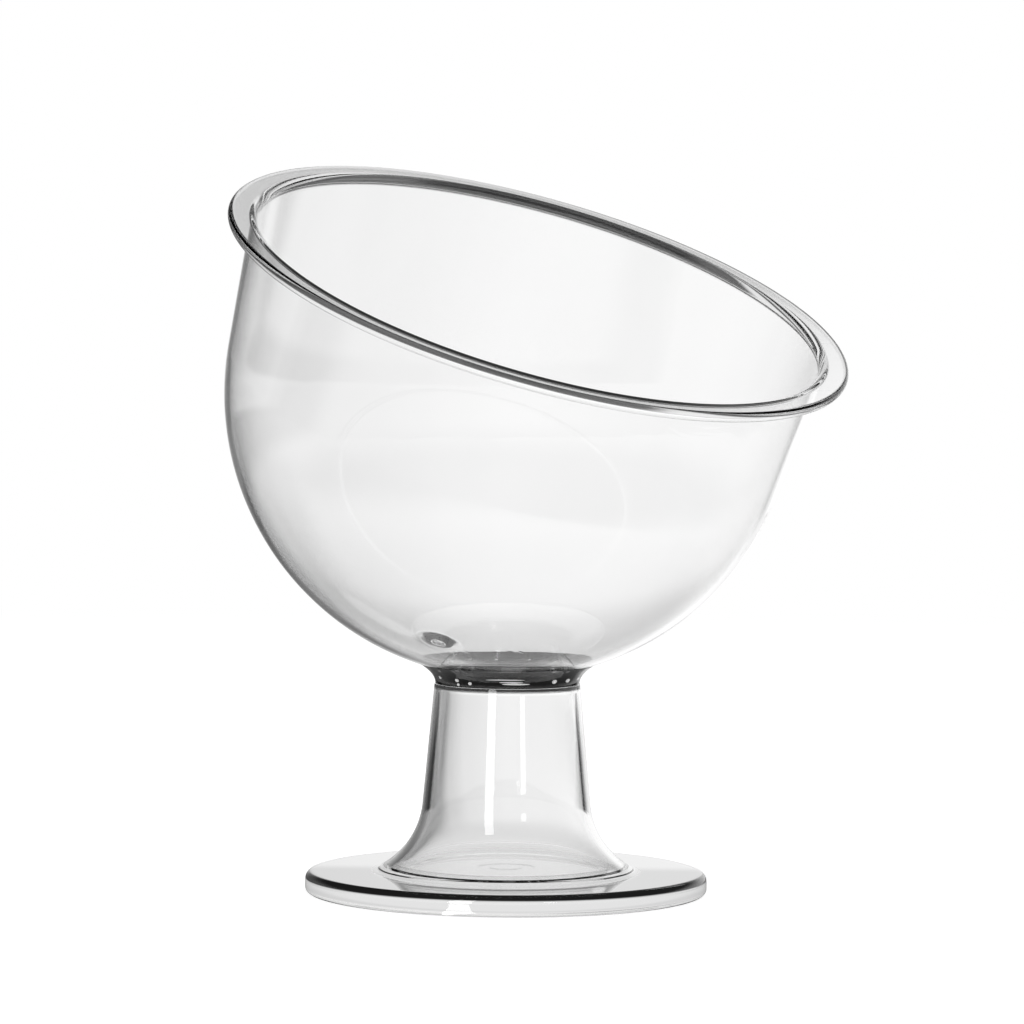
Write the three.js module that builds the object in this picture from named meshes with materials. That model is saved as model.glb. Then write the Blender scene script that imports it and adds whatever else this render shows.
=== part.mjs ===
// Dessert cup of clear moulded plastic: a bowl with a slanted mouth, cemented on a hollow stem and a disc foot.
// Millimetres, +Z up. The origin is the centre of the foot's underside. The mouth's low side faces -Y.

import * as THREE from "three";

// Foot: a solid disc with round edges and a shallow floor under the stem's hollow
const FOOT_RADIUS = 38;
const FOOT_THICKNESS = 4;
const FOOT_TOP_ROUND = 1.6;
const FOOT_BOTTOM_ROUND = 1;
const FLOOR_DEPTH = 0.3;
const FLOOR_SLOPE = 0.5;
const FLOOR_MARGIN = 2.2;

// Stem: a hollow tapered tube, closed by a flat top, flared at its base in an arc that ends at the lip
const STEM_HEIGHT = 35.3;
const STEM_TOP_RADIUS = 13.8;
const STEM_TAPER = 5.3;
const STEM_WALL = 1.4;
const STEM_TOP_WALL = 1.1;
const STEM_TOP_ROUND = 0.15;
const CEILING_ROUND = 0.8;
const FLARE_ANGLE = 62;
const LIP_RADIUS = 24;
const LIP_EDGE = 0.4;

// Bowl: a sphere that runs into a slightly flaring wall, with a round-edged flange round the mouth
const BOWL_RADIUS = 53.75;
const BOWL_WALL = 1;
const BOWL_DRAFT = 4.6;
const BOWL_TILT = 22.8;
const RIM_HEIGHT = 22.5;
const RIM_WALL = 1.3;
const FLANGE_RADIUS = 60;
const FLANGE_THICKNESS = 1.9;
const FLANGE_ROUND = 0.93;
const FLANGE_FILLET = 0.6;
const MOUTH_ROUND = 1.5;

// Gate marks, inside the bowl and on the foot's floor: a round well with the cut-off gate left in it
const BOWL_GATE_RADIUS = 0.8;
const BOWL_GATE_WELL = 2.9;
const FOOT_GATE_RADIUS = 2.8;
const FOOT_GATE_WELL = 5.6;
const BOWL_GATE_DEPTH = 0.4;
const FOOT_GATE_DEPTH = 0.15;
const GATE_SLOPE = 0.4;

// Cement: a plug under the bowl, and a ring under the stem's lip with a bead on both sides
const NECK_CEMENT_DEPTH = 1;
const MENISCUS_REACH = 2.6;
const CONTACT_ANGLE = 15;
const LIP_CEMENT_DEPTH = 0.25;
const OUTER_BEAD = 1.5;
const INNER_BEAD = 1;
const BEAD_TOE = 0.5;
const CEMENT_CLEARANCE = 0.3;

// Fineness of the round shapes: facets round the axis, how far a facet may cut into an arc, steps of the
// meniscus, and the share of an edge that one rounded corner may take up
const SEGMENTS = 48;
const CHORD_TOLERANCE = 0.1;
const MENISCUS_STEPS = 6;
const EDGE_SHARE = 0.49;

// Heights and lines that follow from the sizes above
const radians = THREE.MathUtils.degToRad;
const lipBase = FOOT_THICKNESS + LIP_CEMENT_DEPTH;
const stemTop = lipBase + STEM_HEIGHT;
const bowlBottom = stemTop + NECK_CEMENT_DEPTH;
const bowlCentre = bowlBottom + BOWL_RADIUS;
const hollowTop = STEM_HEIGHT - STEM_TOP_WALL;

// The stem's tapered wall, and the centre of the flare, whose arcs touch the taper and meet the lip's edge
const taper = radians(STEM_TAPER);
const flareEnd = radians(FLARE_ANGLE);
const taperAt = (h) => STEM_TOP_RADIUS + (STEM_HEIGHT - h) * Math.tan(taper);
const flareReach = (LIP_RADIUS - taperAt(LIP_EDGE)) * Math.cos(taper);
const flareRadius = flareReach / (1 - Math.cos(flareEnd - taper));
const flareCentre = {
  r: LIP_RADIUS + flareRadius * Math.cos(flareEnd),
  h: LIP_EDGE + flareRadius * Math.sin(flareEnd),
};
const hollowFlare = flareRadius + STEM_WALL;
const beadFlare = hollowFlare + CEMENT_CLEARANCE;
const hollowEnd = Math.asin(flareCentre.h / hollowFlare);
const hollowFoot = flareCentre.r - hollowFlare * Math.cos(hollowEnd);
const beadTop = hollowFoot - INNER_BEAD;
const beadToe = beadTop - BEAD_TOE;
const floorRadius = beadToe - FLOOR_MARGIN;

// A profile corner at radius r and height h, rounded to the given radius
function corner(r, h, round = 0) {
  return { point: new THREE.Vector2(r, h), round };
}

// How many straight steps an arc needs, for its radius and its angle in radians
function arcSteps(radius, angle) {
  const step = 2 * Math.acos(Math.max(1 - CHORD_TOLERANCE / radius, 0));
  return Math.max(2, Math.ceil(Math.abs(angle) / step));
}

// Turns corners into profile points: each rounded corner becomes an arc that touches both of its edges,
// and its radius is limited so that the arc keeps to its share of the shorter edge
function profile(corners) {
  const points = [];
  corners.forEach(({ point, round }, i) => {
    if (round === 0) {
      points.push(point);
      return;
    }
    const back = corners[i - 1].point.clone().sub(point);
    const ahead = corners[i + 1].point.clone().sub(point);
    const room = EDGE_SHARE * Math.min(back.length(), ahead.length());
    back.normalize();
    ahead.normalize();
    const half = Math.acos(THREE.MathUtils.clamp(back.dot(ahead), -1, 1)) / 2;
    const reach = Math.min(round / Math.tan(half), room);
    const radius = reach * Math.tan(half);
    const middle = back.clone().add(ahead).normalize();
    const centre = middle.clone().multiplyScalar(radius / Math.sin(half)).add(point);
    const from = point.clone().addScaledVector(back, reach).sub(centre);
    const to = point.clone().addScaledVector(ahead, reach).sub(centre);
    const turn = Math.atan2(from.cross(to), from.dot(to));
    const steps = arcSteps(radius, turn);
    for (let k = 0; k <= steps; k += 1) {
      points.push(from.clone().rotateAround(new THREE.Vector2(), (turn * k) / steps).add(centre));
    }
  });
  return points;
}

// Corners along a circle about a point on the axis, between two angles (degrees, 0 is level, -90 is down)
function circle(radius, height, from, to) {
  const steps = arcSteps(radius, radians(to - from));
  return Array.from({ length: steps + 1 }, (_, k) => {
    const angle = radians(from + ((to - from) * k) / steps);
    return corner(radius * Math.cos(angle), height + radius * Math.sin(angle));
  });
}

// Corners along an arc of the flare, between two angles of its wall from the vertical (radians)
function flare(radius, from, to) {
  const steps = arcSteps(radius, to - from);
  return Array.from({ length: steps + 1 }, (_, k) => {
    const angle = from + ((to - from) * k) / steps;
    return corner(flareCentre.r - radius * Math.cos(angle), flareCentre.h - radius * Math.sin(angle));
  });
}

// A closed solid turned about the vertical axis from its profile
function turned(name, corners, material) {
  const geometry = new THREE.LatheGeometry(profile(corners), SEGMENTS);
  geometry.rotateX(Math.PI / 2);
  const mesh = new THREE.Mesh(geometry, material);
  mesh.name = name;
  return mesh;
}

const clearPlastic = new THREE.MeshStandardMaterial({
  color: 0xf2f5f6, roughness: 0.04, metalness: 0, transparent: true, opacity: 0.3,
});
const clearCement = new THREE.MeshStandardMaterial({
  color: 0xe9ecec, roughness: 0.12, metalness: 0, transparent: true, opacity: 0.4,
});

// Foot: flat below, with its gate mark in the middle of the shallow floor above
function makeFoot() {
  const floor = FOOT_THICKNESS - FLOOR_DEPTH;
  return turned("foot", [
    corner(0, 0),
    corner(FOOT_RADIUS, 0, FOOT_BOTTOM_ROUND),
    corner(FOOT_RADIUS, FOOT_THICKNESS, FOOT_TOP_ROUND),
    corner(floorRadius, FOOT_THICKNESS),
    corner(floorRadius - FLOOR_SLOPE, floor),
    corner(FOOT_GATE_WELL, floor),
    corner(FOOT_GATE_WELL - GATE_SLOPE, floor - FOOT_GATE_DEPTH),
    corner(FOOT_GATE_RADIUS + GATE_SLOPE, floor - FOOT_GATE_DEPTH),
    corner(FOOT_GATE_RADIUS, floor),
    corner(0, floor),
  ], clearPlastic);
}

// Stem: the outside runs up from the lip, the inside runs down from the ceiling one wall further in
function makeStem() {
  const ceilingRadius = taperAt(hollowTop) - STEM_WALL / Math.cos(taper);
  const stem = turned("stem", [
    corner(hollowFoot, 0),
    corner(LIP_RADIUS, 0),
    ...flare(flareRadius, flareEnd, taper),
    corner(STEM_TOP_RADIUS, STEM_HEIGHT, STEM_TOP_ROUND),
    corner(0, STEM_HEIGHT),
    corner(0, hollowTop),
    corner(ceilingRadius, hollowTop, CEILING_ROUND),
    ...flare(hollowFlare, taper, hollowEnd),
  ], clearPlastic);
  stem.position.z = lipBase;
  return stem;
}

// Bowl, about the centre of its sphere: the outside runs up to the flange, the inside down to the gate mark
function makeBowl() {
  const draft = radians(BOWL_DRAFT);
  const inside = BOWL_RADIUS - BOWL_WALL;
  const wallAt = (radius, h) => radius / Math.cos(draft) + h * Math.tan(draft);
  const under = RIM_HEIGHT - FLANGE_THICKNESS;
  const mouth = wallAt(BOWL_RADIUS, RIM_HEIGHT) - RIM_WALL;
  const mouthReach = Math.hypot(mouth, RIM_HEIGHT);
  const innerDraft = Math.acos(inside / mouthReach) - Math.atan2(RIM_HEIGHT, mouth);
  const gateEdge = THREE.MathUtils.radToDeg(Math.asin(BOWL_GATE_WELL / inside));
  const stub = Math.sqrt(inside ** 2 - BOWL_GATE_RADIUS ** 2);
  const well = Math.sqrt(inside ** 2 - BOWL_GATE_WELL ** 2) + BOWL_GATE_DEPTH;
  return turned("bowl", [
    ...circle(BOWL_RADIUS, 0, -90, -BOWL_DRAFT),
    corner(wallAt(BOWL_RADIUS, under), under, FLANGE_FILLET),
    corner(FLANGE_RADIUS, under, FLANGE_ROUND),
    corner(FLANGE_RADIUS, RIM_HEIGHT, FLANGE_ROUND),
    corner(mouth, RIM_HEIGHT, MOUTH_ROUND),
    ...circle(inside, 0, THREE.MathUtils.radToDeg(-innerDraft), gateEdge - 90),
    corner(BOWL_GATE_WELL - GATE_SLOPE, -well),
    corner(BOWL_GATE_RADIUS + GATE_SLOPE, -well),
    corner(BOWL_GATE_RADIUS, -stub),
    corner(0, -stub),
  ], clearPlastic);
}

// Neck cement: flat on the stem's top, hollowed to the bowl above, with a concave meniscus round it that
// meets the bowl at the contact angle
function makeNeckCement() {
  const seat = BOWL_RADIUS + CEMENT_CLEARANCE;
  const bottomEdge = STEM_TOP_RADIUS - STEM_TOP_ROUND;
  const topEdge = STEM_TOP_RADIUS + MENISCUS_REACH;
  const topSlope = THREE.MathUtils.radToDeg(Math.asin(topEdge / seat));
  const topHeight = bowlCentre - seat * Math.cos(radians(topSlope));
  const bend = topHeight - (topEdge - bottomEdge) * Math.tan(radians(topSlope + CONTACT_ANGLE));
  const meniscus = new THREE.QuadraticBezierCurve(
    new THREE.Vector2(bottomEdge, stemTop),
    new THREE.Vector2(bottomEdge, bend),
    new THREE.Vector2(topEdge, topHeight),
  );
  return turned("neck_cement", [
    corner(0, stemTop),
    ...meniscus.getPoints(MENISCUS_STEPS).slice(0, -1).map((point) => corner(point.x, point.y)),
    ...circle(seat, bowlCentre, topSlope - 90, -90),
  ], clearCement);
}

// Foot cement: a film under the lip, a bead outside it, and a bead that fills the wedge under the flare
function makeFootCement() {
  const filmEnd = Math.asin(flareCentre.h / beadFlare);
  const topAngle = Math.acos((flareCentre.r - beadTop) / beadFlare);
  const outerTop = LIP_RADIUS + CEMENT_CLEARANCE;
  const cement = turned("foot_cement", [
    corner(beadToe, -LIP_CEMENT_DEPTH),
    corner(LIP_RADIUS + OUTER_BEAD, -LIP_CEMENT_DEPTH),
    corner(outerTop, LIP_EDGE),
    corner(outerTop, 0),
    ...flare(beadFlare, filmEnd, topAngle),
    corner(beadToe, -LIP_CEMENT_DEPTH),
  ], clearCement);
  cement.position.z = lipBase;
  return cement;
}

const bowl = new THREE.Group();
bowl.add(makeBowl());
bowl.position.z = bowlCentre;
bowl.rotation.x = radians(BOWL_TILT);

const cup = new THREE.Group();
cup.add(makeFoot(), makeFootCement(), makeStem(), makeNeckCement(), bowl);

export default cup;
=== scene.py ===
import math

import bmesh
import bpy
import numpy as np
from mathutils import Matrix, Vector


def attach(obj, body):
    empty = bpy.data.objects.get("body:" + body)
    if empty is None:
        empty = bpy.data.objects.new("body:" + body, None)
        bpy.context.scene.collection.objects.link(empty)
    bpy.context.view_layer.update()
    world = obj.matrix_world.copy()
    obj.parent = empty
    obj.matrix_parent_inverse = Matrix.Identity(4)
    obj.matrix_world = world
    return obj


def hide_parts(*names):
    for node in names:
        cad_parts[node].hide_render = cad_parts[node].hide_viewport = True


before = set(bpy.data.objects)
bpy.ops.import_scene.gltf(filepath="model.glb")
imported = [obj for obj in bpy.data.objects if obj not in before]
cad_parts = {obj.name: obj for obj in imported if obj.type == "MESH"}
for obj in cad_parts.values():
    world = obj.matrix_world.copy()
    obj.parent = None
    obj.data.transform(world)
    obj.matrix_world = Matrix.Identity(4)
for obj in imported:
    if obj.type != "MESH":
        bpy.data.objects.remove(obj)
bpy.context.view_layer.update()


# The foot
# A solid disc of clear plastic that the cup stands on, moulded flat below and round at its edges. Inside the
# stem it has a shallow dish with a ring-shaped gate mark in the middle. Sizes are in millimetres.

MM = 0.001
FOOT_RADIUS = 38.0
FOOT_THICKNESS = 4.0
FOOT_LOWER_ROUND = 1.0
FOOT_UPPER_ROUND = 1.6
DISH_RADIUS = 17.74
DISH_DEPTH = 0.3
DISH_SLOPE = 0.5
DISH_ROUND = 0.2
GATE_RING_INSIDE = 2.8
GATE_RING_OUTSIDE = 5.6
GATE_RING_SLOPE = 0.4
GATE_RING_DEPTH = 0.15
GATE_RING_ROUND = 0.12
CEMENT_TOE = 20.44
CEMENT_EDGE = 25.5
BOND_GAP = 0.01
CLEAR_INDEX = 1.53


def rounded_line(corners, arc=10, straight=(0.0, 0.02, 0.2, 0.4, 0.6, 0.8, 0.98, 1.0)):
    """Profile points (radius, height) through corners given as (radius, height, round). A corner becomes an
    arc that touches both of its edges: its centre lies on their bisector, at round / sin(half the corner's
    angle). Straight parts get points close to both ends, which keep them flat under smooth shading."""
    corners = np.array(corners, float)
    place, size = corners[:, :2], corners[1:-1, 2]
    back, ahead = place[:-2] - place[1:-1], place[2:] - place[1:-1]
    back /= np.linalg.norm(back, axis=1)[:, None]
    ahead /= np.linalg.norm(ahead, axis=1)[:, None]
    half = np.arccos(np.clip((back * ahead).sum(1), -1, 1)) / 2
    reach = (size / np.tan(half))[:, None]
    middle = back + ahead
    middle /= np.maximum(np.linalg.norm(middle, axis=1), 1e-9)[:, None]
    centre = place[1:-1] + middle * (size / np.sin(half))[:, None]
    start, end = place[1:-1] + back * reach, place[1:-1] + ahead * reach
    first = np.arctan2(*(start - centre).T[::-1])
    sweep = np.arctan2(*(end - centre).T[::-1]) - first
    sweep = (sweep + np.pi) % (2 * np.pi) - np.pi
    turn = first[:, None] + sweep[:, None] * np.linspace(0, 1, arc)
    arcs = centre[:, None] + size[:, None, None] * np.stack([np.cos(turn), np.sin(turn)], -1)
    share = np.array(straight)[:, None]
    leave, arrive = np.vstack([place[:1], end]), np.vstack([start, place[-1:]])
    runs = leave[:, None] * (1 - share) + arrive[:, None] * share
    line = np.vstack([np.concatenate([runs[:-1], arcs], 1).reshape(-1, 2), runs[-1]])
    apart = np.linalg.norm(np.diff(line, axis=0), axis=1) > 1e-5
    return line[np.concatenate([[True], apart])]


def on_level(height, level):
    """Which heights lie on a level, to a ten-thousandth of a millimetre."""
    return np.abs(height - level) < 1e-4


def turned(line, material_at=None, turns=288):
    """Solid of revolution: the profile (r, h) becomes (r cos a, r sin a, h) over a full turn of a. Profile
    ends on the axis close in a single point with a fan of triangles, other profiles close on themselves.
    Returns the points, the faces and the number of each face's material, which material_at gives for the
    middle of the face's stretch of the profile."""
    angle = np.arange(turns) * (2 * np.pi / turns)
    capped = line[0, 0] < 1e-6
    rings = line[1:-1] if capped else line[:-1]
    points = np.stack([
        rings[:, :1] * np.cos(angle),
        rings[:, :1] * np.sin(angle),
        np.repeat(rings[:, 1:], turns, 1),
    ], -1).reshape(-1, 3)
    near = np.arange(len(rings) * turns).reshape(len(rings), turns)
    side = np.roll(near, -1, 1)
    middle = (line[1:] + line[:-1]) / 2
    number = np.zeros(len(middle), int) if material_at is None else material_at(*middle.T)
    if capped:
        quads = np.stack([near[:-1], side[:-1], side[1:], near[1:]], -1).reshape(-1, 4)
        low, high = np.full(turns, len(points)), np.full(turns, len(points) + 1)
        points = np.vstack([points, [[0, 0, line[0, 1]], [0, 0, line[-1, 1]]]])
        faces = np.stack([low, side[0], near[0]], -1).tolist() + quads.tolist()
        faces += np.stack([high, near[-1], side[-1]], -1).tolist()
    else:
        above, beside = np.roll(near, -1, 0), np.roll(side, -1, 0)
        faces = np.stack([near, side, beside, above], -1).reshape(-1, 4).tolist()
    return points, faces, np.repeat(number, turns)


def add_piece(name, points, faces, numbers, materials):
    """One smooth mesh object from points in millimetres, each face with the material of its number."""
    mesh = bpy.data.meshes.new(name)
    mesh.from_pydata((points * MM).tolist(), [], faces)
    mesh.polygons.foreach_set("material_index", np.asarray(numbers, np.int32))
    mesh.polygons.foreach_set("use_smooth", np.ones(len(faces), bool))
    mesh.update()
    for material in materials:
        mesh.materials.append(material)
    piece = bpy.data.objects.new(name, mesh)
    bpy.context.collection.objects.link(piece)
    return piece


def moulded_skin():
    """Node group for a moulded surface: Height holds the slow waves of the melt and hair-fine rub lines,
    Haze the places that handling has dulled, and Tone a faint unevenness of the melt's colour."""
    group = bpy.data.node_groups.new("moulded_skin", "ShaderNodeTree")
    group.interface.new_socket("Vector", in_out="INPUT", socket_type="NodeSocketVector")
    group.interface.new_socket("Wave Size", in_out="INPUT", socket_type="NodeSocketFloat")
    group.interface.new_socket("Rub", in_out="INPUT", socket_type="NodeSocketFloat")
    for output in ("Height", "Haze", "Tone"):
        group.interface.new_socket(output, in_out="OUTPUT", socket_type="NodeSocketFloat")
    nodes, link = group.nodes, group.links.new
    given, put = nodes.new("NodeGroupInput"), nodes.new("NodeGroupOutput")

    wave = nodes.new("ShaderNodeTexNoise")
    wave.inputs["Detail"].default_value = 1.5
    wave.inputs["Distortion"].default_value = 0.4
    link(given.outputs["Vector"], wave.inputs["Vector"])
    link(given.outputs["Wave Size"], wave.inputs["Scale"])

    rub = nodes.new("ShaderNodeTexNoise")
    rub.inputs["Scale"].default_value = 900.0
    rub.inputs["Detail"].default_value = 2.0
    stretch = nodes.new("ShaderNodeMapping")
    stretch.inputs["Rotation"].default_value = (0.5, 0.3, 0.8)
    stretch.inputs["Scale"].default_value = (0.05, 1.0, 0.3)
    link(given.outputs["Vector"], stretch.inputs["Vector"])
    link(stretch.outputs["Vector"], rub.inputs["Vector"])
    lines = nodes.new("ShaderNodeMapRange")
    lines.inputs["From Min"].default_value = 0.62
    lines.inputs["From Max"].default_value = 0.72
    link(rub.outputs["Fac"], lines.inputs["Value"])
    rubbed = nodes.new("ShaderNodeMath")
    rubbed.operation = "MULTIPLY"
    link(lines.outputs["Result"], rubbed.inputs[0])
    link(given.outputs["Rub"], rubbed.inputs[1])
    height = nodes.new("ShaderNodeMath")
    height.operation = "SUBTRACT"
    link(wave.outputs["Fac"], height.inputs[0])
    link(rubbed.outputs["Value"], height.inputs[1])
    link(height.outputs["Value"], put.inputs["Height"])

    smear = nodes.new("ShaderNodeTexNoise")
    smear.inputs["Scale"].default_value = 55.0
    smear.inputs["Detail"].default_value = 4.0
    link(given.outputs["Vector"], smear.inputs["Vector"])
    dull = nodes.new("ShaderNodeMapRange")
    dull.inputs["From Min"].default_value = 0.5
    dull.inputs["From Max"].default_value = 0.8
    link(smear.outputs["Fac"], dull.inputs["Value"])
    link(dull.outputs["Result"], put.inputs["Haze"])
    link(smear.outputs["Fac"], put.inputs["Tone"])
    return group


SKIN = moulded_skin()


def skinned_material(name, light, deep, rough, hazed, wave_size, wave_height, rub, clear=1.0):
    """Material with a moulded skin, which lets light through where clear is 1. Its colour runs between two
    greys, light and deep, its roughness rises where the skin is dulled, and its normal follows the skin's
    waves and rub lines."""
    material = bpy.data.materials.new(name)
    material.use_nodes = True
    nodes, link = material.node_tree.nodes, material.node_tree.links.new
    shader = nodes["Principled BSDF"]
    shader.inputs["Transmission Weight"].default_value = clear
    shader.inputs["IOR"].default_value = CLEAR_INDEX
    place = nodes.new("ShaderNodeTexCoord")
    skin = nodes.new("ShaderNodeGroup")
    skin.node_tree = SKIN
    skin.inputs["Wave Size"].default_value = wave_size
    skin.inputs["Rub"].default_value = rub
    link(place.outputs["Object"], skin.inputs["Vector"])
    tone = nodes.new("ShaderNodeMix")
    tone.data_type = "RGBA"
    tone.inputs["A"].default_value = (light, light, light, 1)
    tone.inputs["B"].default_value = (deep, deep, deep, 1)
    link(skin.outputs["Tone"], tone.inputs["Factor"])
    link(tone.outputs["Result"], shader.inputs["Base Color"])
    haze = nodes.new("ShaderNodeMapRange")
    haze.inputs["To Min"].default_value = rough
    haze.inputs["To Max"].default_value = hazed
    link(skin.outputs["Haze"], haze.inputs["Value"])
    link(haze.outputs["Result"], shader.inputs["Roughness"])
    bump = nodes.new("ShaderNodeBump")
    bump.inputs["Distance"].default_value = wave_height
    link(skin.outputs["Height"], bump.inputs["Height"])
    link(bump.outputs["Normal"], shader.inputs["Normal"])
    return material


def bonded_material(name, shade):
    """Wetted face between plastic and cement of the same index: light crosses it without bending, less what
    the face's shade takes."""
    material = bpy.data.materials.new(name)
    material.use_nodes = True
    shader = material.node_tree.nodes["Principled BSDF"]
    shader.inputs["Base Color"].default_value = (shade, shade, shade, 1)
    shader.inputs["Roughness"].default_value = 0.0
    shader.inputs["Transmission Weight"].default_value = 1.0
    shader.inputs["IOR"].default_value = 1.0
    return material


clear_plastic = skinned_material(
    "clear_plastic", light=0.99, deep=0.975, rough=0.0, hazed=0.03,
    wave_size=60.0, wave_height=0.00002, rub=0.05,
)
wetted_face = bonded_material("wetted_face", 1.0)

dish_height = FOOT_THICKNESS - DISH_DEPTH
ring_height = dish_height - GATE_RING_DEPTH
foot_line = rounded_line([
    (0, 0, 0),
    (FOOT_RADIUS, 0, FOOT_LOWER_ROUND),
    (FOOT_RADIUS, FOOT_THICKNESS, FOOT_UPPER_ROUND),
    (CEMENT_EDGE, FOOT_THICKNESS, 0),
    (CEMENT_TOE, FOOT_THICKNESS, 0),
    (DISH_RADIUS + DISH_SLOPE, FOOT_THICKNESS, DISH_ROUND),
    (DISH_RADIUS, dish_height, DISH_ROUND),
    (GATE_RING_OUTSIDE, dish_height, GATE_RING_ROUND),
    (GATE_RING_OUTSIDE - GATE_RING_SLOPE, ring_height, GATE_RING_ROUND),
    (GATE_RING_INSIDE + GATE_RING_SLOPE, ring_height, GATE_RING_ROUND),
    (GATE_RING_INSIDE, dish_height, GATE_RING_ROUND),
    (0, dish_height, 0),
])
foot = add_piece("foot_disc", *turned(
    foot_line,
    lambda r, h: on_level(h, 0) | on_level(h, FOOT_THICKNESS) & (r > CEMENT_TOE) & (r < CEMENT_EDGE),
), [clear_plastic, wetted_face])
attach(foot, "root")
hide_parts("foot")


# The foot's cement
# A ring of clear solvent cement that holds the stem's flared lip to the foot. It is a thin film, squeezed
# out into a small bead round the lip and a wedge under the flare, and it wets the outer part of the lip.

LIP_CEMENT_DEPTH = 0.25
LIP_RADIUS = 24.0
LIP_WET = 22.8
LIP_EDGE = 0.4
BEAD_REACH = 0.35
BEAD_RISE = 0.05
BEAD_ROUND = 0.6
WEDGE_REACH = 1.0
WEDGE_RISE = 0.3
WEDGE_HOLLOW = 0.1
WEDGE_ROUND = 0.5
CEMENT_CORNER = 0.03
CEMENT_SEAM = 22.0
CEMENT_STEPS = (0.0, 0.05, 0.5, 0.95, 1.0)
FLARE_ANGLE = math.radians(62)
STEM_HEIGHT = 35.3
STEM_TOP_RADIUS = 13.8
STEM_TAPER = math.radians(5.3)
STEM_WALL = 1.4
lip_base = FOOT_THICKNESS + LIP_CEMENT_DEPTH
lip_top = lip_base + LIP_EDGE
stem_top = lip_base + STEM_HEIGHT


def taper_radius(height):
    """Radius of the stem's tapered outside at a height."""
    return STEM_TOP_RADIUS + (stem_top - height) * math.tan(STEM_TAPER)


flare_radius = (LIP_RADIUS - taper_radius(lip_top)) * math.cos(STEM_TAPER)
flare_radius /= 1 - math.cos(FLARE_ANGLE - STEM_TAPER)
flare_centre = np.array([
    LIP_RADIUS + flare_radius * math.cos(FLARE_ANGLE),
    lip_top + flare_radius * math.sin(FLARE_ANGLE),
])


def flare_arc(radius, start, end, steps=24):
    """Points of an arc of the flare, centre - radius (cos a, sin a), where a is the wall's angle from
    upright."""
    angle = np.linspace(start, end, steps)
    return flare_centre - radius * np.stack([np.cos(angle), np.sin(angle)], -1)


hollow_flare = flare_radius + STEM_WALL
hollow_end = math.asin((flare_centre[1] - lip_base) / hollow_flare)
hollow_foot = flare_centre[0] - hollow_flare * math.cos(hollow_end)
wedge_top = hollow_foot - WEDGE_REACH
wedge_angle = math.acos((flare_centre[0] - wedge_top) / hollow_flare)

clear_cement = skinned_material(
    "clear_cement", light=0.98, deep=0.95, rough=0.01, hazed=0.06,
    wave_size=400.0, wave_height=0.00004, rub=0.0,
)

cement_low = FOOT_THICKNESS + BOND_GAP
film_high = lip_base - BOND_GAP
wedge_flare = hollow_flare + BOND_GAP
wedge_edge = flare_arc(wedge_flare, math.asin((flare_centre[1] - film_high) / wedge_flare), wedge_angle)
foot_cement_line = np.vstack([
    rounded_line([
        (CEMENT_SEAM, cement_low, 0),
        (CEMENT_EDGE, cement_low, CEMENT_CORNER),
        (LIP_RADIUS + BEAD_REACH, lip_base + BEAD_RISE, BEAD_ROUND),
        (LIP_RADIUS + BOND_GAP, lip_top, 2 * BOND_GAP),
        (LIP_RADIUS + BOND_GAP, film_high, 0),
        (*wedge_edge[0], 0),
    ], straight=CEMENT_STEPS),
    wedge_edge[1:-1],
    rounded_line([
        (*wedge_edge[-1], 0),
        (wedge_top - WEDGE_HOLLOW, lip_base + WEDGE_RISE, WEDGE_ROUND),
        (CEMENT_TOE, cement_low, CEMENT_CORNER),
        (CEMENT_SEAM, cement_low, 0),
    ], straight=CEMENT_STEPS),
])
foot_cement = add_piece("foot_cement_ring", *turned(
    foot_cement_line,
    lambda r, h: on_level(h, cement_low) | on_level(h, film_high) & (r > LIP_WET),
), [clear_cement, wetted_face])
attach(foot_cement, "root")
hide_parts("foot_cement")


# The stem
# A hollow moulded pedestal of the same clear plastic, closed at the top by a flat ceiling and open below,
# where its wall flares out to the lip that sits in the cement on the foot. Its top face lets little light
# through into the cement: a painted shade that darkens the collar above it.

STEM_TOP_WALL = 0.4
STEM_TOP_ROUND = 0.15
CEILING_ROUND = 0.8
STEM_TOP_PAINTED_SHADE = 0.08
STEM_BOND = STEM_TOP_RADIUS - STEM_TOP_ROUND

ceiling = stem_top - STEM_TOP_WALL
ceiling_radius = taper_radius(ceiling) - STEM_WALL / math.cos(STEM_TAPER)
inner_flare = np.vstack([
    flare_arc(hollow_flare, STEM_TAPER, wedge_angle, steps=40),
    flare_arc(hollow_flare, wedge_angle, hollow_end, steps=8)[1:],
])
outer_flare = flare_arc(flare_radius, FLARE_ANGLE, STEM_TAPER, steps=48)
stem_line = np.vstack([
    rounded_line([
        (0, ceiling, 0),
        (ceiling_radius, ceiling, CEILING_ROUND),
        (*inner_flare[0], 0),
    ]),
    inner_flare[1:-1],
    rounded_line([
        (*inner_flare[-1], 0),
        (LIP_RADIUS, lip_base, 0),
        (*outer_flare[0], 0),
    ]),
    outer_flare[1:-1],
    rounded_line([
        (*outer_flare[-1], 0),
        (STEM_TOP_RADIUS, stem_top, STEM_TOP_ROUND),
        (STEM_BOND, stem_top, 0),
        (0, stem_top, 0),
    ]),
])
# Painted shade: the stem's top face passes only a small share of the light, which darkens the cement collar.
shaded_stem_top = bonded_material("shaded_stem_top", STEM_TOP_PAINTED_SHADE)
stem = add_piece("stem_tube", *turned(
    stem_line,
    lambda r, h: (on_level(h, stem_top) & (r < STEM_BOND)) + 2 * (on_level(h, lip_base) & (r > LIP_WET)),
), [clear_plastic, shaded_stem_top, wetted_face])
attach(stem, "root")
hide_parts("stem")


# The neck's cement
# A thick plug of the same cement between the stem's flat top and the round bottom of the bowl. Black
# absorption in it darkens it where light crosses it from side to side, a painted shade. Its free edge is
# drawn in, and air is left in it in small bubbles, which glow white as painted glints, beside a few flat
# glowing streaks that are a painted light band.

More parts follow.
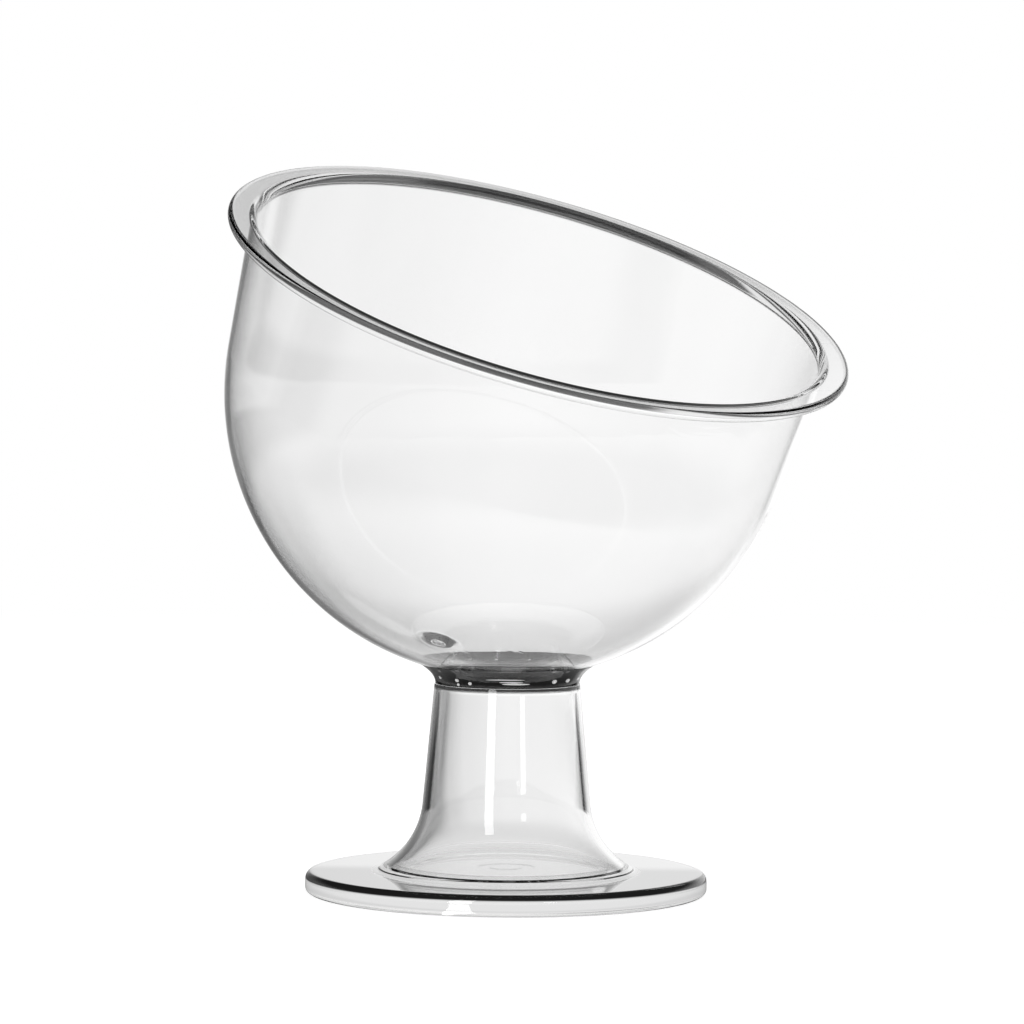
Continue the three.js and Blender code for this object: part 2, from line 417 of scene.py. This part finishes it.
NECK_CEMENT_DEPTH = 1.0
BOWL_RADIUS = 53.75
NECK_EDGE = 16.4
CONTACT_ANGLE = math.radians(15)
CEMENT_SHADE_DENSITY = 300.0
bowl_bottom = stem_top + NECK_CEMENT_DEPTH
bowl_centre = bowl_bottom + BOWL_RADIUS
seat = BOWL_RADIUS + BOND_GAP
seat_slope = math.asin(NECK_EDGE / seat)
seat_edge = bowl_centre - seat * math.cos(seat_slope)
meniscus_knee = seat_edge - (NECK_EDGE - STEM_BOND) * math.tan(seat_slope + CONTACT_ANGLE)
neck_low = stem_top + BOND_GAP

shaded_cement = skinned_material(
    "shaded_cement", light=0.98, deep=0.95, rough=0.01, hazed=0.05,
    wave_size=260.0, wave_height=0.0002, rub=0.0,
)
cement_shade_face = bonded_material("cement_shade_face", 1.0)
# Painted shade: a black absorption fills the plug, so light that crosses it from side to side dies out.
for material in (shaded_cement, cement_shade_face):
    nodes, link = material.node_tree.nodes, material.node_tree.links.new
    body = nodes.new("ShaderNodeVolumeAbsorption")
    body.inputs["Color"].default_value = (0, 0, 0, 1)
    body.inputs["Density"].default_value = CEMENT_SHADE_DENSITY
    link(body.outputs["Volume"], nodes["Material Output"].inputs["Volume"])

# The free edge is a parabola that leaves the stem upright and meets the bowl at the contact angle.
rise = np.linspace(0, 1, 30)[:, None]
meniscus = (
    (1 - rise) ** 2 * np.array([[STEM_BOND, neck_low]])
    + 2 * rise * (1 - rise) * np.array([[STEM_BOND, meniscus_knee]])
    + rise ** 2 * np.array([[NECK_EDGE, seat_edge]])
)
under_bowl = np.linspace(seat_slope, 0, 25)[1:]
neck_line = np.vstack([
    [[0, neck_low], [4, neck_low], [8, neck_low], [12, neck_low]],
    meniscus,
    np.stack([seat * np.sin(under_bowl), bowl_centre - seat * np.cos(under_bowl)], -1),
])
neck_points, neck_faces, neck_numbers = turned(
    neck_line,
    lambda r, h: on_level(h, neck_low) | (np.abs(np.hypot(r, h - bowl_centre) - seat) < BOND_GAP),
)


def air_bubbles(turn, out, height, sizes, first, rows=12, turns=20):
    """Bubbles round the cup's axis: each is the unit ball (cos b cos a, cos b sin a, sin b), stretched to its
    sizes along the radius, round the axis and upwards, and set at its turn, its distance out and its height.
    Returns the points and the faces, counted from first."""
    tilt = np.linspace(-np.pi / 2, np.pi / 2, rows + 1)[1:-1]
    angle = np.arange(turns) * (2 * np.pi / turns)
    ball = np.stack([
        np.outer(np.cos(tilt), np.cos(angle)),
        np.outer(np.cos(tilt), np.sin(angle)),
        np.repeat(np.sin(tilt)[:, None], turns, 1),
    ], -1).reshape(-1, 3)
    ball = np.vstack([ball, [[0, 0, -1], [0, 0, 1]]])
    near = np.arange((rows - 1) * turns).reshape(rows - 1, turns)
    side = np.roll(near, -1, 1)
    quads = np.stack([near[:-1], side[:-1], side[1:], near[1:]], -1).reshape(-1, 4)
    low, high = np.full(turns, len(ball) - 2), np.full(turns, len(ball) - 1)
    fans = np.vstack([
        np.stack([low, side[0], near[0]], -1),
        np.stack([high, near[-1], side[-1]], -1),
    ])
    shift = first + len(ball) * np.arange(len(turn))[:, None, None]
    place = ball * sizes[:, None]
    reach = out[:, None] + place[:, :, 0]
    around = turn[:, None] + place[:, :, 1] / out[:, None]
    points = np.stack([reach * np.cos(around), reach * np.sin(around), height[:, None] + place[:, :, 2]], -1)
    faces = (quads + shift).reshape(-1, 4).tolist() + (fans + shift).reshape(-1, 3).tolist()
    return points.reshape(-1, 3), faces


BUBBLE_RING = 12.9
bubble_turn = np.radians([-199, -176, -175, -163, -90, -74, -55, -31, 0, 29, 59, 84, 109])
bubble_height = np.array([1.9, 1.5, 0.5, 0.9, 1.4, 1.5, 1.7, 1.1, 0.8, 1.4, 1.0, 1.6, 0.9])
bubble_round = np.array([0.4, 0.42, 0.3, 0.36, 0.5, 0.5, 0.4, 0.3, 0.4, 0.3, 0.4, 0.3, 0.4])
# The flat streaks are a painted light band across the front of the plug.
streak_turn = np.radians([-133, -128, -124])
streak_height = np.array([2.0, 1.35, 0.95])
streak_sizes = np.array([[0.15, 3.6, 0.14], [0.15, 2.2, 0.14], [0.15, 2.6, 0.18]])
air_count = len(bubble_turn) + len(streak_turn)
air_points, air_faces = air_bubbles(
    np.concatenate([bubble_turn, streak_turn]),
    np.full(air_count, BUBBLE_RING),
    neck_low + np.concatenate([bubble_height, streak_height]),
    np.vstack([np.repeat(bubble_round[:, None], 3, 1), streak_sizes]),
    len(neck_points),
)
# Painted glints: the bubbles and streaks are white and glow, though they are no lamp.
bubble_glint = bpy.data.materials.new("bubble_glint")
bubble_glint.use_nodes = True
bubble_glint_shader = bubble_glint.node_tree.nodes["Principled BSDF"]
bubble_glint_shader.inputs["Base Color"].default_value = (0.95, 0.95, 0.95, 1)
bubble_glint_shader.inputs["Roughness"].default_value = 0.4
bubble_glint_shader.inputs["Emission Color"].default_value = (1, 1, 1, 1)
bubble_glint_shader.inputs["Emission Strength"].default_value = 0.6
neck_cement = add_piece(
    "neck_cement_plug",
    np.vstack([neck_points, air_points]),
    neck_faces + air_faces,
    np.concatenate([neck_numbers, np.full(len(air_faces), 2)]),
    [shaded_cement, cement_shade_face, bubble_glint],
)
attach(neck_cement, "root")
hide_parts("neck_cement")


# The bowl
# A thin moulded shell of clear plastic: a sphere below, a slightly flaring wall above and a flat flange
# with round edges about the mouth. It leans forward on the stem, with its torn gate mark on the inside: a
# rough ring coloured near black, a painted shade.

BOWL_WALL = 1.0
BOWL_DRAFT = math.radians(4.6)
BOWL_TILT = math.radians(22.8)
RIM_HEIGHT = 22.5
RIM_WALL = 1.3
FLANGE_RADIUS = 60.0
FLANGE_THICKNESS = 1.9
FLANGE_ROUND = 0.93
FLANGE_FILLET = 0.6
MOUTH_ROUND = 1.5
GATE_STUB = 0.8
GATE_STUB_ROUND = 0.15
GATE_WELL = 2.9
GATE_WELL_DEPTH = 0.4
GATE_WELL_SLOPE = 0.4
GATE_WELL_ROUND = 0.2
GATE_TORN = 1.4
GATE_STEP = 4.5
GATE_STEP_DEPTH = 0.08
GATE_STEP_ANGLE = 0.006


def round_wall(radius, start, end, step=1.0):
    """Points (r, h) of a circle about the bowl's centre, from one angle under the level to another, with
    about one point for every step of angle in degrees."""
    tilt = np.linspace(start, end, int(abs(math.degrees(end - start)) / step) + 2)
    return np.stack([radius * np.cos(tilt), radius * np.sin(tilt)], -1)


def wall_radius(height):
    """Radius of the straight outer wall that leaves the sphere at the draft angle."""
    return BOWL_RADIUS / math.cos(BOWL_DRAFT) + height * math.tan(BOWL_DRAFT)


inside = BOWL_RADIUS - BOWL_WALL
gate_angle = math.asin(GATE_WELL / inside)
step_angle = math.asin(GATE_STEP / BOWL_RADIUS)
stub_height = -math.sqrt(inside ** 2 - GATE_STUB ** 2)
well_height = -math.sqrt(inside ** 2 - GATE_WELL ** 2) - GATE_WELL_DEPTH
beside_step = round_wall(BOWL_RADIUS, step_angle - math.pi / 2, -BOWL_DRAFT)
flange_base = RIM_HEIGHT - FLANGE_THICKNESS
outer_start = (BOWL_RADIUS * math.cos(BOWL_DRAFT), -BOWL_RADIUS * math.sin(BOWL_DRAFT))
mouth = wall_radius(RIM_HEIGHT) - RIM_WALL
inner_draft = math.acos(inside / math.hypot(mouth, RIM_HEIGHT)) - math.atan2(RIM_HEIGHT, mouth)
inner_start = (inside * math.cos(inner_draft), -inside * math.sin(inner_draft))
bowl_line = np.vstack([
    round_wall(BOWL_RADIUS - GATE_STEP_DEPTH, -math.pi / 2, step_angle - math.pi / 2 - GATE_STEP_ANGLE),
    beside_step[:-1],
    rounded_line([
        (*outer_start, 0),
        (wall_radius(flange_base), flange_base, FLANGE_FILLET),
        (FLANGE_RADIUS, flange_base, FLANGE_ROUND),
        (FLANGE_RADIUS, RIM_HEIGHT, FLANGE_ROUND),
        (mouth, RIM_HEIGHT, MOUTH_ROUND),
        (*inner_start, 0),
    ], arc=12),
    round_wall(inside, -inner_draft, gate_angle - math.pi / 2)[1:-1],
    rounded_line([
        (*round_wall(inside, gate_angle - math.pi / 2, gate_angle - math.pi / 2)[0], 0),
        (GATE_WELL - GATE_WELL_SLOPE, well_height, GATE_WELL_ROUND),
        (GATE_STUB + GATE_WELL_SLOPE, well_height, GATE_WELL_ROUND),
        (GATE_STUB, stub_height, GATE_STUB_ROUND),
        (0, stub_height, 0),
    ]),
])
bowl_points, bowl_faces, bowl_numbers = turned(bowl_line)
bowl_points = np.stack([
    bowl_points[:, 0],
    bowl_points[:, 1] * math.cos(BOWL_TILT) - bowl_points[:, 2] * math.sin(BOWL_TILT),
    bowl_points[:, 1] * math.sin(BOWL_TILT) + bowl_points[:, 2] * math.cos(BOWL_TILT) + bowl_centre,
], -1)
# The torn ring is rough and bumpy; its opaque near-black colour is painted shade.
torn_gate_shade = skinned_material(
    "torn_gate_shade", light=0.03, deep=0.01, rough=0.25, hazed=0.5,
    wave_size=900.0, wave_height=0.0002, rub=0.5, clear=0.0,
)
torn_gate_shade.node_tree.nodes["Principled BSDF"].inputs["Specular IOR Level"].default_value = 0.05
bowl = add_piece("bowl_shell", bowl_points, bowl_faces, bowl_numbers, [clear_plastic, wetted_face, torn_gate_shade])

# The wetted patch under the bowl ends on a level circle, so the mesh is cut at that height.
patch_height = (bowl_centre - BOWL_RADIUS * math.cos(math.asin(NECK_EDGE / BOWL_RADIUS))) * MM
shell = bmesh.new()
shell.from_mesh(bowl.data)
bmesh.ops.bisect_plane(shell, geom=shell.verts[:] + shell.edges[:] + shell.faces[:], dist=1e-7,
                       plane_co=(0, 0, patch_height), plane_no=(0, 0, 1))
shell.to_mesh(bowl.data)
shell.free()
face_place = np.empty(len(bowl.data.polygons) * 3)
bowl.data.polygons.foreach_get("center", face_place)
face_place = face_place.reshape(-1, 3) / MM
face_spoke = face_place - [0, 0, bowl_centre]
face_reach = np.linalg.norm(face_spoke, axis=1)
face_along = face_spoke @ [0, -math.sin(BOWL_TILT), math.cos(BOWL_TILT)]
face_out = np.sqrt(np.maximum(face_reach ** 2 - face_along ** 2, 0))
patch = (face_place[:, 2] < patch_height / MM) & (face_reach > BOWL_RADIUS - BOWL_WALL / 2)
# The ring in the gate's well gets the torn gate's painted shade.
in_well = (face_out > GATE_TORN) & (face_out < GATE_WELL)
torn = in_well & (face_along < 0) & (face_along > well_height - GATE_WELL_DEPTH / 2)
bowl.data.polygons.foreach_set("material_index", (patch + 2 * torn).astype(np.int32))
bowl.data.update()
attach(bowl, "root")
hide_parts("bowl")


# The floor and the background
# A pale sheet of paper under and behind the cup, in a white studio. The camera sees it white, with the cup's
# shadow. Through and in the clear walls the studio's panels show too: bright behind the cup, dim beside it
# and above, with a painted shadow on the paper under the outer part of the foot, on the camera's side.

VIEW_TURN = math.radians(-41.2)

# A panel is a turn from the line of sight, in degrees, and its brightness. The paper under the foot has a
# brightness for how flatly it is seen, from 0 straight above to 1 edge-on: a painted shadow, nearly black
# at a middle slant.
FAR_PANELS = (
    (-180, 1.25), (-155, 1.15), (-140, 1.05), (-122, 1.05), (-95, 1.00), (-75, 0.80), (-60, 0.60),
    (-51, 0.48), (-44, 0.38), (-38, 0.30), (-28, 0.20), (-20, 0.18), (-14, 0.28), (-9, 0.66), (-5, 0.88),
    (0, 0.98), (6, 1.03), (12, 1.08), (20, 1.06), (28, 1.03), (39, 1.00), (61, 1.05), (75, 1.05),
    (95, 0.85), (122, 0.80), (140, 0.95), (155, 1.10), (180, 1.25),
)
NEAR_PANELS = (
    (-180, 1.00), (-155, 0.75), (-140, 0.50), (-122, 0.55), (-95, 0.20), (-75, 0.24), (-60, 0.26),
    (-51, 0.08), (-44, 0.02), (-38, 0.03), (-28, 0.10), (-20, 0.13), (-14, 0.22), (-9, 0.60), (-5, 0.78),
    (0, 0.87), (6, 0.92), (12, 0.94), (20, 0.93), (28, 0.84), (33, 0.36), (39, 0.03), (44, 0.02),
    (51, 0.02), (61, 0.20), (75, 0.25), (95, 0.15), (122, 0.55), (140, 0.50), (155, 0.75), (180, 1.00),
)
UNDER_FOOT_SHADOW = ((0.10, 1.10), (0.20, 0.50), (0.28, 0.50), (0.34, 0.01), (0.74, 0.01), (0.82, 0.70))
MIDDLE_OPENING = 28
MIDDLE_GAIN = 1.09

# The sheet's sizes and the fades are in metres, except the steep fade, which goes by how flatly it is seen.
SHEET_RADIUS = 4.0
SHEET_SIDES = 96
SHEET_DROP = 0.00005
SHADOW_FADE = (0.3, 0.8)
CUP_FADE = (0.06, 0.14)
NEAR_FADE = (0.42, 0.66)
MIDDLE_FADE = (1.2, 1.8)
STEEP_FADE = (0.84, 0.74)
DEPTH_FADE = (0.002, 0.012)
LIP_FADE = (0.022, 0.026)
FOOT_FADE = (0.0379, 0.0381)
LIT_PAPER = 0.8
MIRRORED_PAPER = 0.25
LEVEL_PAPER = 0.82
STEEP_PAPER = 1.12
STEM_PAPER = 0.8


def fill_ramp(ramp, stops):
    """Fills a colour ramp with stops (position, brightness), with eased steps between them."""
    ramp.interpolation = "EASE"
    while len(ramp.elements) < len(stops):
        ramp.elements.new(1.0)
    for stop, (position, bright) in zip(ramp.elements, stops):
        stop.position = position
        stop.color = (bright, bright, bright, 1)


def studio_panels(name, panels):
    """Node group for a ring of the studio's panels: the brightness of a direction or place, by its turn about
    the cup's axis from the line of sight."""
    group = bpy.data.node_groups.new(name, "ShaderNodeTree")
    group.interface.new_socket("Vector", in_out="INPUT", socket_type="NodeSocketVector")
    group.interface.new_socket("Color", in_out="OUTPUT", socket_type="NodeSocketColor")
    nodes, link = group.nodes, group.links.new
    given, put = nodes.new("NodeGroupInput"), nodes.new("NodeGroupOutput")
    turn = nodes.new("ShaderNodeMapping")
    turn.inputs["Rotation"].default_value = (0, 0, -VIEW_TURN)
    link(given.outputs["Vector"], turn.inputs["Vector"])
    split = nodes.new("ShaderNodeSeparateXYZ")
    link(turn.outputs["Vector"], split.inputs["Vector"])
    around = nodes.new("ShaderNodeMath")
    around.operation = "ARCTAN2"
    link(split.outputs["X"], around.inputs[0])
    link(split.outputs["Y"], around.inputs[1])
    share = nodes.new("ShaderNodeMapRange")
    share.inputs["From Min"].default_value = -math.pi
    share.inputs["From Max"].default_value = math.pi
    link(around.outputs["Value"], share.inputs["Value"])
    ring = nodes.new("ShaderNodeValToRGB")
    fill_ramp(ring.color_ramp, [(angle / 360 + 0.5, bright) for angle, bright in panels])
    link(share.outputs["Result"], ring.inputs["Fac"])
    link(ring.outputs["Color"], put.inputs["Color"])
    return group


far_studio = studio_panels("far_panels", FAR_PANELS)
middle_studio = studio_panels("middle_panels", sorted(
    [(angle, bright) for angle, bright in NEAR_PANELS if abs(angle) > MIDDLE_OPENING]
    + [(angle, MIDDLE_GAIN * bright) for angle, bright in FAR_PANELS if abs(angle) <= MIDDLE_OPENING]
))
near_studio = studio_panels("near_panels", NEAR_PANELS)

floor_turn = np.arange(SHEET_SIDES) * (2 * np.pi / SHEET_SIDES)
floor_points = SHEET_RADIUS * np.stack([np.cos(floor_turn), np.sin(floor_turn), 0 * floor_turn], -1)
floor_mesh = bpy.data.meshes.new("floor_sheet")
floor_mesh.from_pydata((floor_points - [0, 0, SHEET_DROP]).tolist(), [], [list(range(SHEET_SIDES))])
floor = bpy.data.objects.new("floor_sheet", floor_mesh)
bpy.context.collection.objects.link(floor)
floor_paper = bpy.data.materials.new("floor_paper")
floor_paper.use_nodes = True
paper_nodes, paper_link = floor_paper.node_tree.nodes, floor_paper.node_tree.links.new
paper = paper_nodes["Principled BSDF"]
paper.inputs["Base Color"].default_value = (0.9, 0.9, 0.9, 1)
paper.inputs["Roughness"].default_value = 1.0
paper.inputs["Specular IOR Level"].default_value = 0.0
paper.inputs["Emission Color"].default_value = (1, 1, 1, 1)
paper.inputs["Emission Strength"].default_value = LIT_PAPER
paper_place = paper_nodes.new("ShaderNodeTexCoord")
paper_reach = paper_nodes.new("ShaderNodeVectorMath")
paper_reach.operation = "LENGTH"
paper_link(paper_place.outputs["Object"], paper_reach.inputs[0])
paper_facing = paper_nodes.new("ShaderNodeLayerWeight")
paper_facing.inputs["Blend"].default_value = 0.5
paper_ray = paper_nodes.new("ShaderNodeLightPath")


def paper_share(value, none, full):
    """Smooth share of a value: nothing at none and before it, all at full and past it."""
    share = paper_nodes.new("ShaderNodeMapRange")
    share.interpolation_type = "SMOOTHSTEP"
    share.inputs["From Min"].default_value = none
    share.inputs["From Max"].default_value = full
    paper_link(value, share.inputs["Value"])
    return share.outputs["Result"]


def paper_fade(near, far):
    """Share of the far shader at a distance from the cup's axis: none up to near, all from far on."""
    return paper_share(paper_reach.outputs["Value"], near, far)


def paper_mix(share, first, second):
    """Mix of two shaders of the floor."""
    mix = paper_nodes.new("ShaderNodeMixShader")
    paper_link(share, mix.inputs[0])
    paper_link(first, mix.inputs[1])
    paper_link(second, mix.inputs[2])
    return mix.outputs["Shader"]


def paper_glow(strength):
    """Plain white glow of the floor."""
    glow = paper_nodes.new("ShaderNodeEmission")
    glow.inputs["Strength"].default_value = strength
    return glow.outputs["Emission"]


def paper_panel(studio):
    """Glow of the floor that carries a ring of panels."""
    glow, ring = paper_nodes.new("ShaderNodeEmission"), paper_nodes.new("ShaderNodeGroup")
    ring.node_tree = studio
    paper_link(paper_place.outputs["Object"], ring.inputs["Vector"])
    paper_link(ring.outputs["Color"], glow.inputs["Color"])
    return glow.outputs["Emission"]


seen = paper_mix(paper_fade(*SHADOW_FADE), paper.outputs["BSDF"], paper_glow(1.0))
steep = paper_share(paper_facing.outputs["Facing"], *STEEP_FADE)
far_panel = paper_panel(far_studio)
middle_panel = paper_mix(paper_fade(*MIDDLE_FADE), paper_panel(middle_studio), far_panel)
level_panel = paper_mix(paper_fade(*NEAR_FADE), paper_panel(near_studio), middle_panel)
panels = paper_mix(steep, level_panel, far_panel)
off_cup = paper_fade(*CUP_FADE)
mirrored = paper_mix(off_cup, paper_glow(MIRRORED_PAPER), panels)
near_paper = paper_mix(steep, paper_glow(LEVEL_PAPER), paper_glow(STEEP_PAPER))
beside = paper_mix(off_cup, near_paper, panels)

# Painted shadow: the paper under the foot's outer part, on the camera's side, darkens by how flatly it is
# seen.
foot_shade = paper_nodes.new("ShaderNodeValToRGB")
fill_ramp(foot_shade.color_ramp, UNDER_FOOT_SHADOW)
paper_link(paper_facing.outputs["Facing"], foot_shade.inputs["Fac"])
painted_foot_shadow = paper_nodes.new("ShaderNodeEmission")
paper_link(foot_shade.outputs["Color"], painted_foot_shadow.inputs["Color"])
under_stem = paper_glow(STEM_PAPER)
depth = paper_nodes.new("ShaderNodeVectorMath")
depth.operation = "DOT_PRODUCT"
depth.inputs[1].default_value = (-math.sin(VIEW_TURN), math.cos(VIEW_TURN), 0)
paper_link(paper_place.outputs["Object"], depth.inputs[0])
behind = paper_share(depth.outputs["Value"], *DEPTH_FADE)
rear_foot = paper_mix(behind, painted_foot_shadow.outputs["Emission"], under_stem)
under_cup = paper_mix(paper_fade(*LIP_FADE), under_stem, rear_foot)
below = paper_mix(paper_fade(*FOOT_FADE), under_cup, beside)
through = paper_mix(paper_ray.outputs["Is Transmission Ray"], mirrored, below)
floor_look = paper_mix(paper_ray.outputs["Is Camera Ray"], through, seen)
paper_link(floor_look, paper_nodes["Material Output"].inputs["Surface"])
floor_mesh.materials.append(floor_paper)

SKY_FADE = (0.17, 0.45)
LOW_SKY = 0.96
HIGH_SKY = 0.04
RIM_PANEL = (0.658, 0.4947, 0.5677)
RIM_END_PANEL = (0.757, 0.4059, 0.512)

world = bpy.data.worlds.new("studio")
bpy.context.scene.world = world
world.use_nodes = True
sky, sky_link = world.node_tree.nodes, world.node_tree.links.new
toward = sky.new("ShaderNodeTexCoord")
sky_ring = sky.new("ShaderNodeGroup")
sky_ring.node_tree = far_studio
sky_link(toward.outputs["Generated"], sky_ring.inputs["Vector"])
split = sky.new("ShaderNodeSeparateXYZ")
sky_link(toward.outputs["Generated"], split.inputs["Vector"])
above = sky.new("ShaderNodeMapRange")
above.interpolation_type = "SMOOTHSTEP"
above.inputs["From Min"].default_value = SKY_FADE[0]
above.inputs["From Max"].default_value = SKY_FADE[1]
above.inputs["To Min"].default_value = LOW_SKY
above.inputs["To Max"].default_value = HIGH_SKY
sky_link(split.outputs["Z"], above.inputs["Value"])
shade = sky.new("ShaderNodeVectorMath")
shade.operation = "SCALE"
sky_link(sky_ring.outputs["Color"], shade.inputs[0])
sky_link(above.outputs["Result"], shade.inputs["Scale"])


def sky_panel(sky_so_far, direction, full, none, bright):
    """The sky with a soft round panel added about a direction: bright up to the full angle from it, nothing
    from the none angle on, in degrees."""
    nearness = sky.new("ShaderNodeVectorMath")
    nearness.operation = "DOT_PRODUCT"
    nearness.inputs[1].default_value = direction
    sky_link(toward.outputs["Generated"], nearness.inputs[0])
    edge = sky.new("ShaderNodeMapRange")
    edge.interpolation_type = "SMOOTHSTEP"
    edge.inputs["From Min"].default_value = math.cos(math.radians(none))
    edge.inputs["From Max"].default_value = math.cos(math.radians(full))
    edge.inputs["To Max"].default_value = bright
    sky_link(nearness.outputs["Value"], edge.inputs["Value"])
    total = sky.new("ShaderNodeVectorMath")
    sky_link(sky_so_far, total.inputs[0])
    sky_link(edge.outputs["Result"], total.inputs[1])
    return total.outputs["Vector"]


# Both panels show in the flange's flat faces: the faint one all round, the bright one at the right end.
lit_sky = sky_panel(shade.outputs["Vector"], RIM_PANEL, full=6, none=10, bright=0.09)
lit_sky = sky_panel(lit_sky, RIM_END_PANEL, full=4.6, none=7, bright=0.75)
sky_ray = sky.new("ShaderNodeLightPath")
backdrop = sky.new("ShaderNodeMix")
backdrop.data_type = "RGBA"
backdrop.inputs["B"].default_value = (1, 1, 1, 1)
sky_link(sky_ray.outputs["Is Camera Ray"], backdrop.inputs["Factor"])
sky_link(lit_sky, backdrop.inputs["A"])
sky_link(backdrop.outputs["Result"], sky["Background"].inputs["Color"])


# The lamps
# One broad soft lamp hangs overhead and lights the floor. A tall strip at the camera's left and a short one
# at its right show as upright highlights on the stem, and a small flat lamp stands in for the tall strip's
# image in the foot. The strips light nothing but the stem and the foot.

STRIP_DISTANCE = 0.134
STRIP_TURN = math.radians(22.2)
LEFT_STRIP_MIDDLE = 0.048
RIGHT_STRIP_MIDDLE = 0.0395
MIRROR_DISTANCE = 0.0507
MIRROR_TURN = math.radians(16.3)
MIRROR_HEIGHT = 0.0002
MIRROR_SKEW = math.radians(26)


def soft_lamp(name, power, width, height, place, target):
    """A rectangular soft lamp at a place, turned to face a target, unseen by the camera."""
    lamp = bpy.data.lights.new(name, "AREA")
    lamp.shape = "RECTANGLE"
    lamp.size, lamp.size_y = width, height
    lamp.energy = power
    holder = bpy.data.objects.new(name, lamp)
    holder.location = place
    holder.rotation_euler = (Vector(target) - Vector(place)).to_track_quat("-Z", "Y").to_euler()
    holder.visible_camera = False
    bpy.context.collection.objects.link(holder)
    return holder


overhead = soft_lamp("overhead_lamp", power=24.0, width=2.4, height=2.4, place=(0, 0, 2.2), target=(0, 0, 0))
overhead.visible_glossy = False
overhead.visible_transmission = False
lit_by_strips = bpy.data.collections.new("lit_by_strips")
lit_by_strips.objects.link(stem)
lit_by_strips.objects.link(foot)


def beside_cup(distance, turn, height):
    """Place at a distance from the cup's axis, turned about it from the camera's side."""
    return Vector((distance * math.sin(VIEW_TURN + turn), -distance * math.cos(VIEW_TURN + turn), height))


def strip_lamp(name, power, width, height, place, target):
    """A soft lamp that shows only as a reflection on the stem and the foot."""
    strip = soft_lamp(name, power, width, height, place, target)
    strip.visible_transmission = False
    strip.visible_diffuse = False
    strip.light_linking.receiver_collection = lit_by_strips
    return strip


strip_lamp(
    "left_strip", power=0.0434, width=0.027, height=0.094,
    place=beside_cup(STRIP_DISTANCE, -STRIP_TURN, LEFT_STRIP_MIDDLE), target=(0, 0, LEFT_STRIP_MIDDLE),
)
strip_lamp(
    "right_strip", power=0.0039, width=0.016, height=0.021,
    place=beside_cup(STRIP_DISTANCE, STRIP_TURN, RIGHT_STRIP_MIDDLE), target=(0, 0, RIGHT_STRIP_MIDDLE),
)
mirror_place = beside_cup(MIRROR_DISTANCE, -MIRROR_TURN, MIRROR_HEIGHT)
strip_mirror = strip_lamp(
    "strip_mirror", power=0.003, width=0.0065, height=0.026,
    place=mirror_place, target=mirror_place + Vector((0, 0, 1)),
)
# It lies flat and faces up, so its turn about the upright is set here.
strip_mirror.rotation_euler = (math.pi, 0, VIEW_TURN - MIRROR_SKEW)


# The camera
# It stands a little above the cup's middle, to the left of the mouth's low side, and sees the cup from the
# photograph's place through a long lens.

VIEW_DROP = math.radians(2.505)
VIEW_DISTANCE = 0.8495
VIEW_ROLL = math.radians(0.455)
AIM_HEIGHT = 0.07196
AIM_SIDE = 0.00061
SENSOR_WIDTH = 36.0
PHOTO_WIDTH = 1024
FOCAL_LENGTH_PIXELS = 4500
right = Vector((math.cos(VIEW_TURN), math.sin(VIEW_TURN), 0))
aim = Vector((0, 0, AIM_HEIGHT)) + right * AIM_SIDE
away = Vector((
    math.sin(VIEW_TURN) * math.cos(VIEW_DROP),
    -math.cos(VIEW_TURN) * math.cos(VIEW_DROP),
    math.sin(VIEW_DROP),
))
lens = bpy.data.cameras.new("camera")
lens.sensor_width = SENSOR_WIDTH
lens.lens = SENSOR_WIDTH * FOCAL_LENGTH_PIXELS / PHOTO_WIDTH
lens.clip_end = 50.0
camera = bpy.data.objects.new("camera", lens)
camera.matrix_world = (
    Matrix.Translation(aim + away * VIEW_DISTANCE)
    @ Matrix.Rotation(VIEW_TURN, 4, "Z")
    @ Matrix.Rotation(math.pi / 2 - VIEW_DROP, 4, "X")
    @ Matrix.Rotation(VIEW_ROLL, 4, "Z")
)
bpy.context.collection.objects.link(camera)
bpy.context.scene.camera = camera
bpy.context.scene.view_settings.view_transform = "Standard"
bpy.context.scene.cycles.max_bounces = 32
bpy.context.scene.cycles.glossy_bounces = 24
bpy.context.scene.cycles.transmission_bounces = 32
